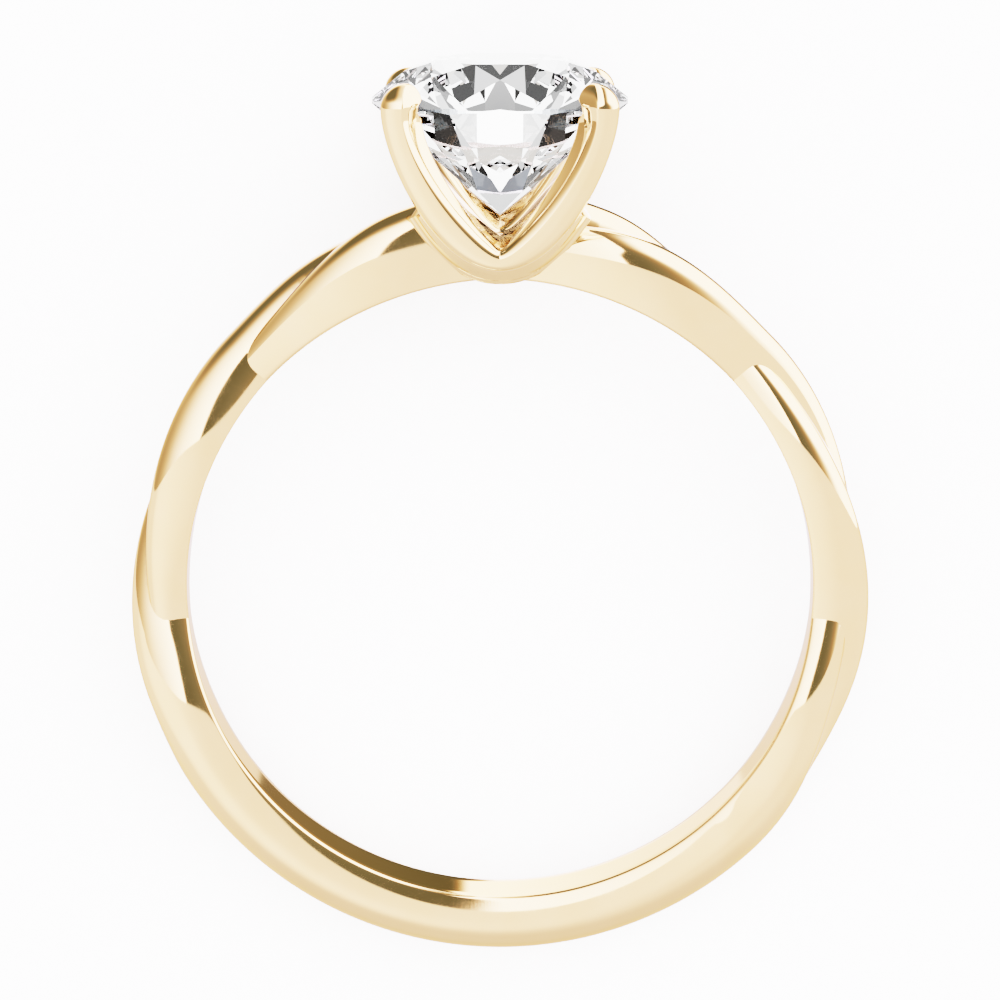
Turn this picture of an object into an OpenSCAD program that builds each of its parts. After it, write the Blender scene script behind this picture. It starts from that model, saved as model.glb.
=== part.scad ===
// Solitaire engagement ring with a twisted band and a four-prong head, lying on its side.
// The ring is worked out in its own frame: X to the right, Y along the finger towards the
// back, Z up through the stone, with the middle of the finger hole at zero. The last step
// lays it on its back face, where the head and the foot of the band touch the surface.
// Lengths are millimetres, angles degrees clockwise from the stone as seen from the front.

/* [Finger hole] */
// Inside radius of the ring, 8.25 for a US size 6
bore_r = 8.25; // [7.5:0.05:9.5]

/* [Plain band] */
// Thickness of the plain lower half, from the finger hole outwards
band_thick = 1.57; // [1.3:0.01:2]
// Width of the plain lower half along the finger
band_w = 2.1; // [1.8:0.05:2.6]
// How square the plain section is, 2 is an ellipse
band_square = 2.3; // [2:0.1:4]

/* [Twist] */
// Thickness of the twist where one strand lies over the other
crest_thick = 1.53; // [1.3:0.01:1.9]
// Width of one strand along the finger
strand_w = 1.24; // [1.1:0.02:1.5]
// How square a strand's section is, 2 is an ellipse
strand_square = 4.2; // [2:0.1:5]
// How far a strand moves in and out from the middle of the twist
lift = 0.26; // [0.1:0.01:0.4]
// How far a strand moves to the front and to the back
sway = 0.38; // [0.1:0.01:0.4]
// Angle from one crest of the outline to the next
crest_step = 50; // [45:0.5:55]
// Angle from one crossing of the strands on the front face to the next
cross_step = 47.6; // [45:0.1:52]
// Where the twist starts to melt into the plain band, left and right
melt_start = [97, 108]; // [90:1:140]
// Where the plain band begins, left and right
melt_end = [122, 138]; // [115:1:160]

/* [Shoulders] */
// How much thicker the band grows up to the head
shoulder_rise = 0.61; // [0:0.01:1.2]
// Angle at which the shoulders start to rise
rise_start = 47; // [30:1:60]
// Angle at which the shoulders reach their full height
rise_end = 16; // [0:1:24]

/* [Cradle between the prong wires] */
// Full depth of the cradle along the finger
cradle_w = 4.3; // [4:0.05:4.8]
// Height of the cradle's lowest edge above the finger hole
cradle_low = 0.2; // [0.1:0.01:0.5]
// Height of the saddle under the stone's point above the finger hole
saddle_low = 0.95; // [0.7:0.01:1.2]
// Half the width of the cradle at its top
cradle_reach = 2.08; // [1.9:0.01:2.3]
// Size of the hollow flare from the band's face to the cradle, across and along the finger
flare = [0.32, 0.85]; // [0.2:0.01:1]

/* [Prong wires] */
// Distance of each wire's plane from the middle of the ring
wire_y = 2.45; // [2.2:0.01:2.8]
// Depth of a wire along the finger
wire_deep = 1; // [0.8:0.02:1.3]
// How square a wire's section is, 2 is an ellipse
wire_square = 3.6; // [2:0.1:5]
// Share of a wire's face that slants towards the stone
wire_slant = 0.4; // [0:0.05:0.6]
// Height of a wire's lowest point above the finger hole
wire_low = 0.48; // [0.3:0.01:0.8]
// Thickness of a wire at its lowest point
wire_low_thick = 0.56; // [0.4:0.01:0.9]
// Half the spread of the prongs, outside and inside
prong_x = [3.05, 1.97]; // [1.8:0.01:3.3]
// Height of the top of a prong above the finger hole
prong_top = 5.27; // [4.8:0.01:5.6]
// Length of a prong's rounded tip
tip_len = 0.62; // [0.4:0.01:0.9]
// How far a tip leans over the stone
tip_lean = 0.12; // [0:0.01:0.3]

/* [Stone] */
// Radius of the stone at its girdle, a round brilliant of about 1.1 carat
stone_r = 3.33; // [3.1:0.01:3.5]
// Height of the middle of the girdle above the finger hole
girdle_up = 4.62; // [4.4:0.01:4.8]
// Thickness of the girdle
girdle_thick = 0.16; // [0.08:0.01:0.3]
// Radius of the table's corners
table_r = 1.8; // [1.6:0.01:2]
// Height of the crown above the girdle
crown_high = 1; // [0.8:0.01:1.2]
// Depth of the pavilion under the girdle
pavilion_deep = 2.9; // [2.7:0.01:3.1]
// Share of the crown's width that the star facets take
star_share = 0.5; // [0.4:0.01:0.6]
// Share of the pavilion's width that the lower halves take
lower_share = 0.76; // [0.7:0.01:0.85]
// How far the stone is turned in its seat, 22.5 shows an edge of the table to the front
stone_turn = 22.5; // [0:0.5:45]
// Gap between the stone and the metal
stone_gap = 0.05; // [0.03:0.01:0.1]

/* [Hidden] */
$fn = 96;
MAIN_FACETS = 8;                 // kites round the crown, and round the pavilion
WIRE_STEPS = 15;                 // rings along one arm of a wire
WIRE_SIDES = 16;                 // points round a wire
TIP_STEPS = 4;                   // rings over a tip
CRADLE_STEPS = 9;                // points along half of the cradle's outline
FLARE_STEPS = 6;                 // layers of the flare
HALVINGS = 14;                   // steps of the search for the band's surface
GROOVE_SHARP = 40;               // a higher value makes a sharper groove between the strands
BURIED = 0.3;                    // the part of the band's section that the finger hole cuts off

// The twist's section: its middle radius and the height of a strand above it
twist_mid = 0.5;
strand_high = crest_thick - lift - twist_mid;
// The plain section: where it starts to round off, and its height above that
plain_mid = 0.65;
plain_high = band_thick - plain_mid;
// The sides are shallow arcs: the height at which they are widest, and how fast they draw in
strand_bulge = [0.57, 0.13];
low_bulge = [0.7, 0.16];         // a strand low on the left, where it nears the plain band
plain_bulge = [1.16, 0.085];
lean_start = 70;                 // angle on the left at which one turns into the other
lean_end = 97;
// Every section is searched outwards from this height above the finger hole
heart = 0.65;
spoke_end = 3;

function smooth(a) = let (c = min(max(a, 0), 1)) c * c * (3 - 2 * c);
function superellipse(a, b, n) = pow(pow(abs(a), n) + pow(abs(b), n), 1 / n);

// Share of the plain section at angle t: 0 in the twist, 1 in the lower half
function melt(t) = let (side = t < 0 ? 0 : 1)
    smooth((abs(t) - melt_start[side]) / (melt_end[side] - melt_start[side]));
// Growth of the band's height at angle t, 1 away from the head
function growth(t) = 1 + shoulder_rise / (crest_thick - lift)
    * smooth((rise_start - abs(t)) / (rise_start - rise_end));

// The cradle's outer side and the saddle on it, as heights over the finger hole's middle at x
function cradle_z(x) = bore_r + cradle_low + 0.335 * pow(abs(x), 2.12);
function saddle_z(x) = bore_r + saddle_low + 1.35 * (norm([x, 0.45]) - 0.45);

// Half a section's width at height up: it draws in on both sides of its widest height
function bulging(width, bulge, up) = width / 2 - bulge[1] * pow(up - bulge[0], 2);
// A strand's section: under 1 inside it, 1 on its surface. Its sides run down to the hole
function strand(t, up, y, side) = let (
        mid = twist_mid + side * lift * cos(180 * t / crest_step),
        off = side * sway * sin(180 * t / cross_step),
        low = smooth((-t - lean_start) / (lean_end - lean_start)),
        bulge = (1 - low) * strand_bulge + low * low_bulge)
    superellipse((y - off) / bulging(strand_w, bulge, up), max(up - mid, 0) / strand_high,
        strand_square);
function plain(up, y) = superellipse(
    y / bulging(band_w, plain_bulge, up), max(up - plain_mid, 0) / plain_high, band_square);
// The band's section at angle t, height up over the hole and place y along the finger
function section(t, up, y) = let (
        low = up / growth(t),
        first = strand(t, low, y, 1),
        second = strand(t, low, y, -1),
        nearer = min(first, second),
        twist = nearer - ln(1 + exp(-GROOVE_SHARP * abs(first - second))) / GROOVE_SHARP,
        m = melt(t))
    m == 0 ? twist : (1 - m) * twist + m * plain(up, y);
// Distance from the section's heart to its surface along the spoke at angle a
function reach(t, a, low = 0, high = spoke_end, left = HALVINGS) = let (half = (low + high) / 2)
    left == 0 ? half
    : section(t, heart + half * cos(a), half * sin(a)) < 1 ? reach(t, a, half, high, left - 1)
    : reach(t, a, low, half, left - 1);
// The saddle cuts the band's top off: the highest radius at angle t
function saddle_radius(t, low = 0, high = 2 * bore_r, left = HALVINGS) = let (half = (low + high) / 2)
    left == 0 ? half
    : half * cos(t) < saddle_z(half * sin(t)) ? saddle_radius(t, half, high, left - 1)
    : saddle_radius(t, low, half, left - 1);

// Angles of the band's sections: fine in the twist, wide apart in the plain half
stations = concat(
    [for (t = [-20 : 2 : 20]) t],
    [for (t = [22 : 2 : melt_end[1]]) t],
    [for (t = [melt_end[1] + 5 : 5 : 360 - melt_end[0] - 3]) t],
    [for (t = [360 - melt_end[0] : 2 : 338]) t]);
// Angles of the points round a section, from its top, with more at the upper corners
spokes = concat(
    [for (a = [-108 : 12 : 108]) a],
    [for (a = [125, 146, 214, 235]) a]);

module band_form() {
    points = [for (s = stations) let (
            t = s > 180 ? s - 360 : s,
            highest = abs(t) < 20 ? saddle_radius(t) : 2 * bore_r)
        for (a = spokes) let (
            d = reach(t, a),
            r = min(max(bore_r + heart + d * cos(a), bore_r - BURIED), highest))
        [r * sin(t), d * sin(a), r * cos(t)]];
    n = len(spokes);
    m = len(stations);
    faces = [for (i = [0 : m - 1], j = [0 : n - 1], half = [0, 1]) let (
            a = i * n + j,
            b = i * n + (j + 1) % n,
            c = ((i + 1) % m) * n + (j + 1) % n,
            d = ((i + 1) % m) * n + j)
        half == 0 ? [a, b, c] : [a, c, d]];
    polyhedron(points, faces);
}

// How far the band's face lies from the middle, below the stone at x
function face_y(x) = strand_w / 2 + sway * abs(sin(180 * atan(x / bore_r) / cross_step));
// The cradle's outline at one layer, up: 0 in the middle, 1 where it leaves the band's face
// and 2 at its end. It runs along the outer side from the left to the right top and comes
// back along the saddle. The outer side flares out into the band's face in a hollow curve
function cradle_ring(side, layer) = let (
        n = CRADLE_STEPS,
        gone = min(max(layer - 1, 0), 1),
        out = flare[0] * (1 - sqrt(1 - pow(1 - min(gone * (cradle_w / 2 - 0.8) / flare[1], 1), 2))))
    concat(
        [for (i = [-n : n]) let (
                x = cradle_reach * sin(90 * i / n),
                slope = 0.335 * 2.12 * pow(abs(x), 1.12) * (x < 0 ? -1 : 1),
                away = out / norm([1, slope]),
                y = face_y(x) * min(layer, 1) + (cradle_w / 2 - face_y(x)) * gone)
            [x + away * slope, side * y, cradle_z(x) - away]],
        [for (i = [n : -1 : -n]) let (
                x = 0.8 * cradle_reach * i / n,
                y = face_y(x) * min(layer, 1) + (cradle_w / 2 - face_y(x)) * gone)
            [x, side * y, saddle_z(x)]]);

module cradle() {
    levels = [for (k = [0 : FLARE_STEPS]) 1 + pow(k / FLARE_STEPS, 1.6)];
    layers = concat([for (k = [FLARE_STEPS : -1 : 0]) cradle_ring(-1, levels[k])],
        [for (level = levels) cradle_ring(1, level)]);
    n = len(layers[0]);
    m = len(layers);
    points = [for (ring = layers, p = ring) p];
    sides = [for (i = [0 : m - 2], j = [0 : n - 1], half = [0, 1]) let (
            a = i * n + j,
            b = i * n + (j + 1) % n,
            c = (i + 1) * n + (j + 1) % n,
            d = (i + 1) * n + j)
        half == 0 ? [a, b, c] : [a, c, d]];
    ends = [[for (j = [n - 1 : -1 : 0]) j], [for (j = [0 : n - 1]) (m - 1) * n + j]];
    polyhedron(points, concat(sides, ends));
}

function bezier(p, t) = pow(1 - t, 3) * p[0] + 3 * pow(1 - t, 2) * t * p[1]
    + 3 * (1 - t) * t * t * p[2] + pow(t, 3) * p[3];

// The two edges of a prong wire as [x, z], from its lowest point up to the start of the tip
tip_z = bore_r + prong_top - tip_len;
wire_z = bore_r + wire_low;
outer_edge = [[0, wire_z], [1.7, wire_z], [prong_x[0], tip_z - 1.2], [prong_x[0], tip_z]];
inner_edge = [[0, wire_z + wire_low_thick], [0.34, wire_z + wire_low_thick + 0.14],
    [prong_x[1] + 0.3, tip_z - 1.04], [prong_x[1], tip_z]];

// One ring round a wire: its outer and inner edge, half its depth, how far it leans, which way
// its face looks and what share of that face slants towards the stone
function wire_ring(outer, inner, deep, lean, face, slant) = [
    for (k = [0 : WIRE_SIDES - 1]) let (
        a = 360 * k / WIRE_SIDES,
        n = superellipse(cos(a), sin(a), wire_square),
        front = max(face * sin(a) / n, 0),
        narrow = cos(a) < 0 ? 1 - 2 * slant * front : 1,
        across = (outer - inner) / 2 * cos(a) / n * narrow,
        mid = (outer + inner) / 2)
    [mid[0] + across[0], lean + deep * sin(a) / n, mid[1] + across[1]]];
// The rings of one arm, from the lowest point to the tip; the tip leans away from side
function arm(side) = concat(
    [for (i = [0 : WIRE_STEPS]) let (t = i / WIRE_STEPS)
        wire_ring(bezier(outer_edge, t), bezier(inner_edge, t), wire_deep / 2, 0, side,
            wire_slant * smooth(t))],
    [for (i = [1 : TIP_STEPS]) let (
            a = 84 * i / TIP_STEPS,
            mid = (prong_x[0] + prong_x[1]) / 2 - tip_lean * (1 - cos(a)),
            half = (prong_x[0] - prong_x[1]) / 2 * cos(a),
            z = tip_z + tip_len * sin(a))
        wire_ring([mid + half, z], [mid - half, z], wire_deep / 2 * cos(a),
            -side * tip_lean * (1 - cos(a)), side, wire_slant)]);

module prong_wire(side) {
    right = arm(side);
    left = [for (i = [len(right) - 1 : -1 : 1]) [for (p = right[i]) [-p[0], p[1], p[2]]]];
    rings = concat(left, right);
    n = WIRE_SIDES;
    m = len(rings);
    points = [for (ring = rings, p = ring) p];
    sides = [for (i = [0 : m - 2], j = [0 : n - 1], half = [0, 1]) let (
            a = i * n + j,
            b = i * n + (j + 1) % n,
            c = (i + 1) * n + (j + 1) % n,
            d = (i + 1) * n + j)
        half == 0 ? [a, c, b] : [a, d, c]];
    ends = [[for (j = [0 : n - 1]) j], [for (j = [n - 1 : -1 : 0]) (m - 1) * n + j]];
    translate([0, side * wire_y, 0])
        polyhedron(points, concat(sides, ends));
}

// A round brilliant, grown by g on every side
module brilliant(g = 0) {
    half = 180 / MAIN_FACETS;
    girdle_r = stone_r + g;
    high = bore_r + girdle_up + girdle_thick / 2 + g / 3;
    low = bore_r + girdle_up - girdle_thick / 2 - g / 3;
    top = high + crown_high + g;
    point = low - pavilion_deep - g;
    table = table_r + g / 2;
    // The star facets' points and the lower halves' points lie on the planes of the kites
    star_r = table * cos(half) * (1 - star_share) + girdle_r * star_share;
    star_z = top - (star_r * cos(half) - table) / (girdle_r - table) * (top - high);
    lower_r = girdle_r * (1 - lower_share);
    lower_z = point + lower_r * cos(half) / girdle_r * (low - point);
    function spin(r, a, z) = [r * sin(a), r * cos(a), z];
    function circle8(r, z, shift) = [for (k = [0 : MAIN_FACETS - 1]) spin(r, (2 * k + shift) * half, z)];
    function circle16(r, z) = [for (k = [0 : 2 * MAIN_FACETS - 1]) spin(r, k * half, z)];
    points = concat(circle8(table, top, 0), circle8(star_r, star_z, 1), circle16(girdle_r, high),
        circle16(girdle_r, low), circle8(lower_r, lower_z, 1), [[0, 0, point]]);
    N = MAIN_FACETS;
    function t(k) = k % N;                       // table corner
    function s(k) = N + (k + N) % N;             // star point, half a step further
    function u(k) = 2 * N + (k + 2 * N) % (2 * N);   // upper girdle corner
    function w(k) = 4 * N + (k + 2 * N) % (2 * N);   // lower girdle corner
    function l(k) = 6 * N + (k + N) % N;         // lower halves' point
    tip = 7 * N;
    faces = concat(
        [[for (k = [0 : N - 1]) t(k)]],
        [for (k = [0 : N - 1]) [s(k), t(k + 1), t(k)]],
        [for (k = [0 : N - 1]) [s(k - 1), u(2 * k), s(k), t(k)]],
        [for (k = [0 : N - 1]) [u(2 * k), u(2 * k + 1), s(k)]],
        [for (k = [0 : N - 1]) [u(2 * k + 1), u(2 * k + 2), s(k)]],
        [for (k = [0 : 2 * N - 1]) [w(k), w(k + 1), u(k + 1), u(k)]],
        [for (k = [0 : N - 1]) [w(2 * k + 1), w(2 * k), l(k)]],
        [for (k = [0 : N - 1]) [w(2 * k + 2), w(2 * k + 1), l(k)]],
        [for (k = [0 : N - 1]) [l(k), w(2 * k), l(k - 1), tip]]);
    polyhedron(points, faces);
}

// Where the ring touches the surface: the back wire's lowest stretch and the band's foot
foot_r = bore_r + plain_mid;
foot_half = bulging(band_w, plain_bulge, plain_mid);
head_z = wire_z + wire_low_thick / 2;
tilt = atan((wire_y + wire_deep / 2 - foot_half) / (head_z + foot_r));
dual = band_square / (band_square - 1);
foot_drop = foot_r * sin(tilt) + superellipse(foot_half * cos(tilt), plain_high * sin(tilt), dual);
foot_out = foot_r * cos(tilt) + superellipse(foot_half * sin(tilt), plain_high * cos(tilt), dual);
table_z = bore_r + girdle_up + girdle_thick / 2 + crown_high;
head_out = table_z * cos(tilt) + table_r * sin(tilt);

// Lays the ring on its back face, the stone towards +Y, with zero under the middle of its box
module lie_down() {
    translate([0, (foot_out - head_out) / 2, foot_drop])
        rotate([tilt - 90, 0, 0])
            children();
}

// The cast metal: twisted band, cradle and both prong wires in one piece. The empty resize
// keeps the size and joins the forms before the finger hole is cut as a true cylinder
module mounting() {
    color([0.93, 0.80, 0.52])
        lie_down()
            difference() {
                resize([0, 0, 0])
                    difference() {
                        union() {
                            band_form();
                            cradle();
                            prong_wire(-1);
                            prong_wire(1);
                        }
                        rotate([0, 0, stone_turn])
                            brilliant(stone_gap);
                    }
                rotate([90, 0, 0])
                    cylinder(r = bore_r, h = 4 * band_w, center = true);
            }
}

// The cut stone
module stone() {
    color([0.93, 0.95, 0.98])
        lie_down()
            rotate([0, 0, stone_turn])
                brilliant();
}

mounting();
stone();
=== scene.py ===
# %% [markdown]
# # A solitaire ring, step by step
# The object is a slim gold engagement ring: a band whose upper half is twisted from two
# strands, a cradle under the head, two V-shaped prong wires and one round brilliant stone.
# It lies on its side on a pale table. This lesson works each surface out with numpy, puts
# it into a mesh, and then gives the metal, the stone and the table their finishes.
#
# The packed model is loaded first. It is the fixed frame that every piece has to fit.

import bpy
import numpy as np
from mathutils import Matrix


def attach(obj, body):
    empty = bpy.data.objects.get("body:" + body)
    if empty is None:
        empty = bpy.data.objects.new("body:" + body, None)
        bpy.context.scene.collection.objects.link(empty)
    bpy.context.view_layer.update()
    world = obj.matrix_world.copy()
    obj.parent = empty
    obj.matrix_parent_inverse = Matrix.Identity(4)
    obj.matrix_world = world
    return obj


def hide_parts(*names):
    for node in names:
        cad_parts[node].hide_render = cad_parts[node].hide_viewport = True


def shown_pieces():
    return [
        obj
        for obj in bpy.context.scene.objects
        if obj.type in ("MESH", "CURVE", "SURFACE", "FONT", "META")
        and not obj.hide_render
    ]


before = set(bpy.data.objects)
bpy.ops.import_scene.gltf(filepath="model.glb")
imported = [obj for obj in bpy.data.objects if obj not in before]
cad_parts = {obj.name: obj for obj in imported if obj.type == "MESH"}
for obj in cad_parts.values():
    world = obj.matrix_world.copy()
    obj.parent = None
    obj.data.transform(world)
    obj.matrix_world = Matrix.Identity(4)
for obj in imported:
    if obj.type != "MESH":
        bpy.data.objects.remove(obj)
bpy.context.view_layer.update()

# %% [markdown]
# ## Sizes of the ring
# A goldsmith works a ring out standing up: X to the right, Y along the finger, Z up through
# the stone, and the middle of the finger hole at zero. All sizes are millimetres in that
# frame, and heights "over the hole" are measured outwards from its wall. They are the sizes
# the solid model was made from, so the surfaces fall on its own. The ones that the whole
# ring shares come first.

# %% Sizes in millimetres
BORE_R = 8.25                     # the finger hole
BAND_THICK, BAND_W = 1.57, 2.1    # the plain half of the band
BAND_SQUARE = 2.3                 # how square it is outside, where 2 is an ellipse
PLAIN_MID = 0.65                  # it is rounded from this height over the hole
PLAIN_HIGH = BAND_THICK - PLAIN_MID
PLAIN_BULGE = (1.16, 0.085)       # its widest height, and how fast its sides narrow from there
WIRE_Y, WIRE_DEEP = 2.45, 1.0     # a prong wire's middle and depth, along the finger
WIRE_LOW, WIRE_LOW_THICK = 0.48, 0.56    # its lowest place over the hole, and its height there
WIRE_Z = BORE_R + WIRE_LOW
STONE_R, TABLE_R = 3.33, 1.8
GIRDLE_UP, GIRDLE_THICK = 4.62, 0.16     # the girdle's middle over the hole
CROWN_HIGH, PAVILION_DEEP = 1.0, 2.9
print("finger hole", 2 * BORE_R, "mm, stone", 2 * STONE_R, "mm")

# %% [markdown]
# ## Laying the ring down
# The ring is worked out standing and then laid on its back, where the head and the foot of
# the band touch the table. The angle of that rest follows from the two places that touch,
# so it is worked out here and not measured.

# %% Turn and shift that lay the ring down


def superellipse(a, b, n):
    """The n-th root of |a|^n + |b|^n: 1 on a rounded square, less inside it, more outside."""
    return (np.abs(a) ** n + np.abs(b) ** n) ** (1 / n)


def bulging(width, widest, rate, up):
    """Half the width at height up: it shrinks with the square of the distance from its widest
    height, so the sides are shallow arcs that lean in towards the hole."""
    return width / 2 - rate * (up - widest) ** 2


foot_r = BORE_R + PLAIN_MID
foot_half = bulging(BAND_W, *PLAIN_BULGE, PLAIN_MID)
head_z = WIRE_Z + WIRE_LOW_THICK / 2
tilt = np.arctan((WIRE_Y + WIRE_DEEP / 2 - foot_half) / (head_z + foot_r))
dual = BAND_SQUARE / (BAND_SQUARE - 1)
foot_drop = foot_r * np.sin(tilt) + superellipse(
    foot_half * np.cos(tilt), PLAIN_HIGH * np.sin(tilt), dual)
foot_out = foot_r * np.cos(tilt) + superellipse(
    foot_half * np.sin(tilt), PLAIN_HIGH * np.cos(tilt), dual)
table_z = BORE_R + GIRDLE_UP + GIRDLE_THICK / 2 + CROWN_HIGH
head_out = table_z * np.cos(tilt) + TABLE_R * np.sin(tilt)
lie = tilt - np.pi / 2
TURN = np.array([[1, 0, 0],
                 [0, np.cos(lie), -np.sin(lie)],
                 [0, np.sin(lie), np.cos(lie)]])
SHIFT = np.array([0, (foot_out - head_out) / 2, foot_drop])


def lay_down(points):
    """Ring places in millimetres turned about X by the tilt less 90 degrees, then shifted,
    then divided by 1000 into metres on the table."""
    return (np.asarray(points) @ TURN.T + SHIFT) / 1000


print("tilt", round(float(np.degrees(tilt)), 3), "shift", SHIFT.round(4))

# %% [markdown]
# ## From arrays to a mesh
# Every piece of metal below is a grid: rows of points along it, and columns round it. The
# faces of a grid are worked out once, for all pieces, from the row and column numbers. A
# closed shape has a signed volume, and its sign shows whether the faces point outwards.

# %% Faces of a grid


def grid_faces(rows, columns, wrap_rows, other=None):
    """Two triangles for each cell between row i and i + 1, column j and j + 1. Columns wrap
    round, and rows do where wrap_rows says. Where other is true the cell is cut the other way."""
    last = rows if wrap_rows else rows - 1
    i, j = np.meshgrid(np.arange(last), np.arange(columns), indexing="ij")
    up, side = (i + 1) % rows, (j + 1) % columns
    a, b = i * columns + j, i * columns + side
    c, d = up * columns + side, up * columns + j
    swap = np.zeros(a.shape, bool) if other is None else other[:last]
    first = np.where(swap[..., None], np.stack([a, b, d], -1), np.stack([a, b, c], -1))
    second = np.where(swap[..., None], np.stack([b, c, d], -1), np.stack([a, c, d], -1))
    return np.concatenate([first.reshape(-1, 3), second.reshape(-1, 3)])


def signed_volume(points, triangles):
    """A sixth of the sum of a . (b x c) over the triangles: positive if they face outwards."""
    a, b, c = (points[triangles[:, k]] for k in range(3))
    return float(np.einsum("ij,ij->i", a, np.cross(b, c)).sum() / 6)


def outward(points, triangles):
    """The triangles turned round if their signed volume is negative."""
    return triangles[:, ::-1] if signed_volume(points, triangles) < 0 else triangles


print("an open grid of 4 rows and 6 columns has", len(grid_faces(4, 6, False)), "triangles")

# %% [markdown]
# Each piece then becomes a mesh object. Its points are laid down into the mesh itself, and
# the object stays at the origin, unturned, as the solids of the frame do. Every piece rides
# on the ring's one body and stands for a node of the frame.

# %% A mesh object from points and faces


def make_piece(name, points, faces, slot, node, smooth=True):
    """A mesh object of ring places in millimetres, laid down, riding on the ring's one body
    and standing for a node of the frame."""
    mesh = bpy.data.meshes.new(name)
    mesh.from_pydata(lay_down(points), [], faces.tolist() if hasattr(faces, "tolist") else faces)
    mesh.update(calc_edges=True)
    mesh.polygons.foreach_set("use_smooth", np.full(len(mesh.polygons), smooth))
    piece = bpy.data.objects.new(name, mesh)
    bpy.context.scene.collection.objects.link(piece)
    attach(piece, "root")
    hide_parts(node)
    print(name, len(points), "points", len(mesh.polygons), "faces")
    return piece


def sharpen(piece, chosen):
    """Marks the edges sharp whose two ends are chosen points, so the shading breaks there."""
    mesh = piece.data
    ends = np.empty(2 * len(mesh.edges), np.int32)
    mesh.edges.foreach_get("vertices", ends)
    marked = chosen[ends.reshape(-1, 2)].all(1)
    layer = mesh.attributes.new("sharp_edge", "BOOLEAN", "EDGE")
    layer.data.foreach_set("value", marked)
    print(piece.name, "sharp edges", int(marked.sum()))


# %% [markdown]
# ## The twisted band
# On the real ring two strands of gold run round the upper half. Each moves in and out, and to
# the front and to the back, so they lie over one another in turn, and towards the bottom
# both melt into one plain oval band. A curve with a bevel could make each strand, but not the
# melting, nor the crisp valley between them. So the section is a rule instead: a function that
# is 1 on the surface and less inside it. The nearer of two strands gives the twist, and a
# mix with the plain oval gives the melting. Angles are degrees from the stone to the right.

# %% Where the twist melts, and where the band grows
CREST_THICK, LIFT = 1.53, 0.26            # a strand's greatest height, and its swing in and out
TWIST_MID = 0.5                           # the middle of that swing, over the hole
STRAND_HIGH = CREST_THICK - LIFT - TWIST_MID
MELT_START, MELT_END = (97.0, 108.0), (122.0, 138.0)     # each for the left and the right
SHOULDER_RISE, RISE_START, RISE_END = 0.61, 47.0, 16.0   # millimetres, then degrees


def smooth_step(a):
    """3 c^2 - 2 c^3 with c the value held between 0 and 1: a soft step."""
    c = np.clip(a, 0, 1)
    return c * c * (3 - 2 * c)


def melt(t):
    """Share of the plain oval at angle t: 0 in the twist, 1 in the lower half."""
    start = np.where(t < 0, MELT_START[0], MELT_START[1])
    end = np.where(t < 0, MELT_END[0], MELT_END[1])
    return smooth_step((np.abs(t) - start) / (end - start))


def growth(t):
    """How many times higher the band is at angle t than away from the head."""
    rise = smooth_step((RISE_START - np.abs(t)) / (RISE_START - RISE_END))
    return 1 + SHOULDER_RISE / (CREST_THICK - LIFT) * rise


print("plain share at 0, 110 and 180 degrees", melt(np.array([0, 110, 180])).round(2),
      "growth under the stone", round(float(growth(0)), 2))

# %% [markdown]
# A strand is a rounded square whose middle swings. Its sides lean in towards the hole, and low
# on the left they lean more. Only the nearer of the two strands counts at any place, and the
# difference between them is kept as a function too, because it is zero in the valley.

# %% The rule for the band's section
STRAND_W, STRAND_SQUARE, SWAY = 1.24, 4.2, 0.38
CREST_STEP, CROSS_STEP = 50.0, 47.6       # degrees from crest to crest and crossing to crossing
# Widest height and rate of narrowing, on most of the twist and then low on the left, and the
# degrees on the left between which the first turns into the second
STRAND_BULGE, LOW_BULGE = (0.57, 0.13), (0.70, 0.16)
LEAN_START, LEAN_END = 70.0, 97.0


def strand(t, up, y, side):
    """A strand's section: a rounded square about a middle that moves in and out with the
    cosine and to the front and back with the sine of the angle. Below it only the lean is left."""
    middle = TWIST_MID + side * LIFT * np.cos(np.pi * t / CREST_STEP)
    offset = side * SWAY * np.sin(np.pi * t / CROSS_STEP)
    low = smooth_step((-t - LEAN_START) / (LEAN_END - LEAN_START))
    widest, rate = ((1 - low) * a + low * b for a, b in zip(STRAND_BULGE, LOW_BULGE))
    return superellipse((y - offset) / bulging(STRAND_W, widest, rate, up),
                        np.maximum(up - middle, 0) / STRAND_HIGH, STRAND_SQUARE)


def plain(up, y):
    """The plain half's section: rounded outside, and nearly flat sides down to the hole."""
    return superellipse(y / bulging(BAND_W, *PLAIN_BULGE, up),
                        np.maximum(up - PLAIN_MID, 0) / PLAIN_HIGH, BAND_SQUARE)


def band_section(t, up, y):
    """The nearer strand, mixed with the plain oval by the share of melting at angle t."""
    low = up / growth(t)
    nearer = np.minimum(strand(t, low, y, 1), strand(t, low, y, -1))
    share = melt(t)
    return (1 - share) * nearer + share * plain(up, y)


def strand_gap(t, up, y):
    """The first strand's value less the second's: zero in the valley between them."""
    low = up / growth(t)
    return strand(t, low, y, 1) - strand(t, low, y, -1)


print("the section rule at the foot's outside", round(float(band_section(180, BAND_THICK, 0)), 3))

# %% [markdown]
# The surface is then found on spokes. At each angle round the ring a fan of spokes leaves the
# section's heart, and halving finds where each one comes out. Near a crossing the fans stand
# closer together. One spoke of every fan is moved exactly into the valley, and the edges along
# it are marked sharp, so that the valley stays crisp although the mesh is coarse beside it.

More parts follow.
